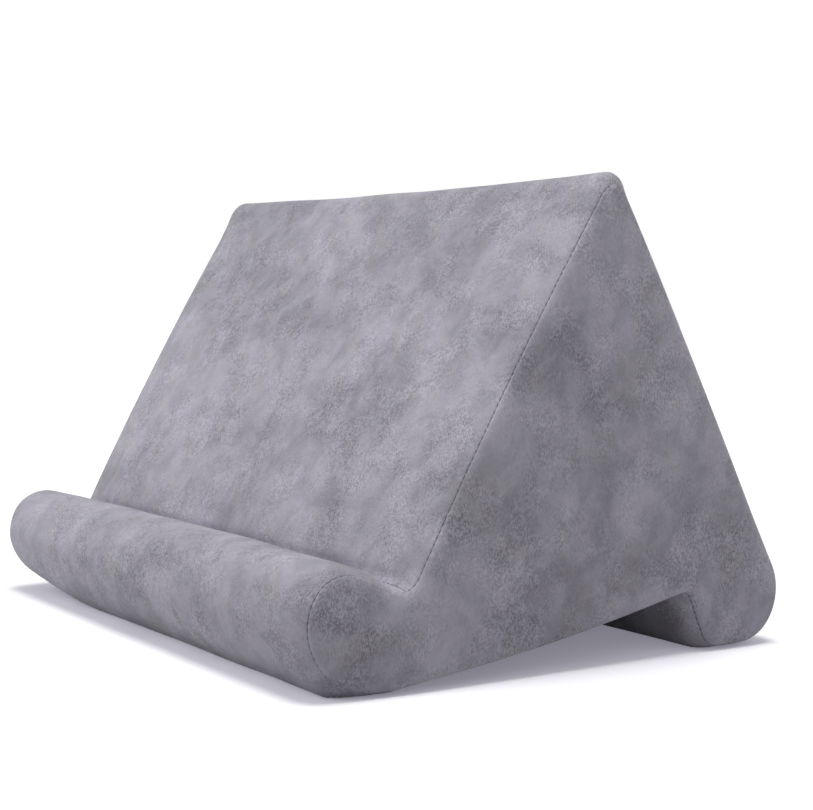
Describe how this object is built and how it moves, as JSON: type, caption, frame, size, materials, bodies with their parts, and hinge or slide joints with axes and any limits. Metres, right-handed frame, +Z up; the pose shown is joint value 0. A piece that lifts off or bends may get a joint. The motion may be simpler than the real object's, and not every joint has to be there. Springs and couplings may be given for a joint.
{
  "type": "tablet cushion stand",
  "caption": "Soft wedge cushion that holds a tablet upright on its ledge, with a padded front lip, a rear foot roll and a velour cover that zips shut at the back.",
  "frame": {"origin": "on the floor under the middle of the cushion's box", "axes": "+Z up, +X along the width, -Y towards the padded lip and the person using it"},
  "size_m": [0.3402, 0.2731, 0.2194],
  "materials": {
    "cover": "short-pile velour",
    "foam": "open-cell foam",
    "zip_tape": "woven tape",
    "zip_coil": "nylon coil",
    "zip_metal": "plated zinc, satin",
    "thread": "twisted sewing thread"
  },
  "bodies": {
    "cushion": {"wedge_foam": "foam", "lip_foam": "foam", "foot_foam": "foam", "main_panel": "cover", "foot_panel": "cover", "base_panel": "cover", "lip_panel": "cover", "side_panel_right": "cover", "side_panel_left": "cover", "seam_thread_right": "thread", "seam_thread_left": "thread", "groove_seam_thread": "thread", "base_seam_thread": "thread", "notch_seam_thread": "thread", "zip_thread_upper": "thread", "zip_thread_lower": "thread", "zip_tape_upper": "zip_tape", "zip_tape_lower": "zip_tape", "zip_coil_upper": "zip_coil", "zip_coil_lower": "zip_coil", "zip_top_stop_upper": "zip_metal", "zip_top_stop_lower": "zip_metal", "zip_bottom_stop": "zip_metal"},
    "slider": {"zip_slider": "zip_metal"},
    "pull": {"zip_pull": "zip_metal"}
  },
  "joints": [
    {"name": "zip_slide", "type": "slide", "parent": "cushion", "child": "slider", "axis": [-1, 0, 0], "range_m": [0, 0.237]},
    {"name": "pull_flip", "type": "hinge", "parent": "slider", "child": "pull", "pos_m": [0.1185, 0.12012, 0.06774], "axis": [0, 0.5281, -0.8492], "range_deg": [0, 168]}
  ]
}
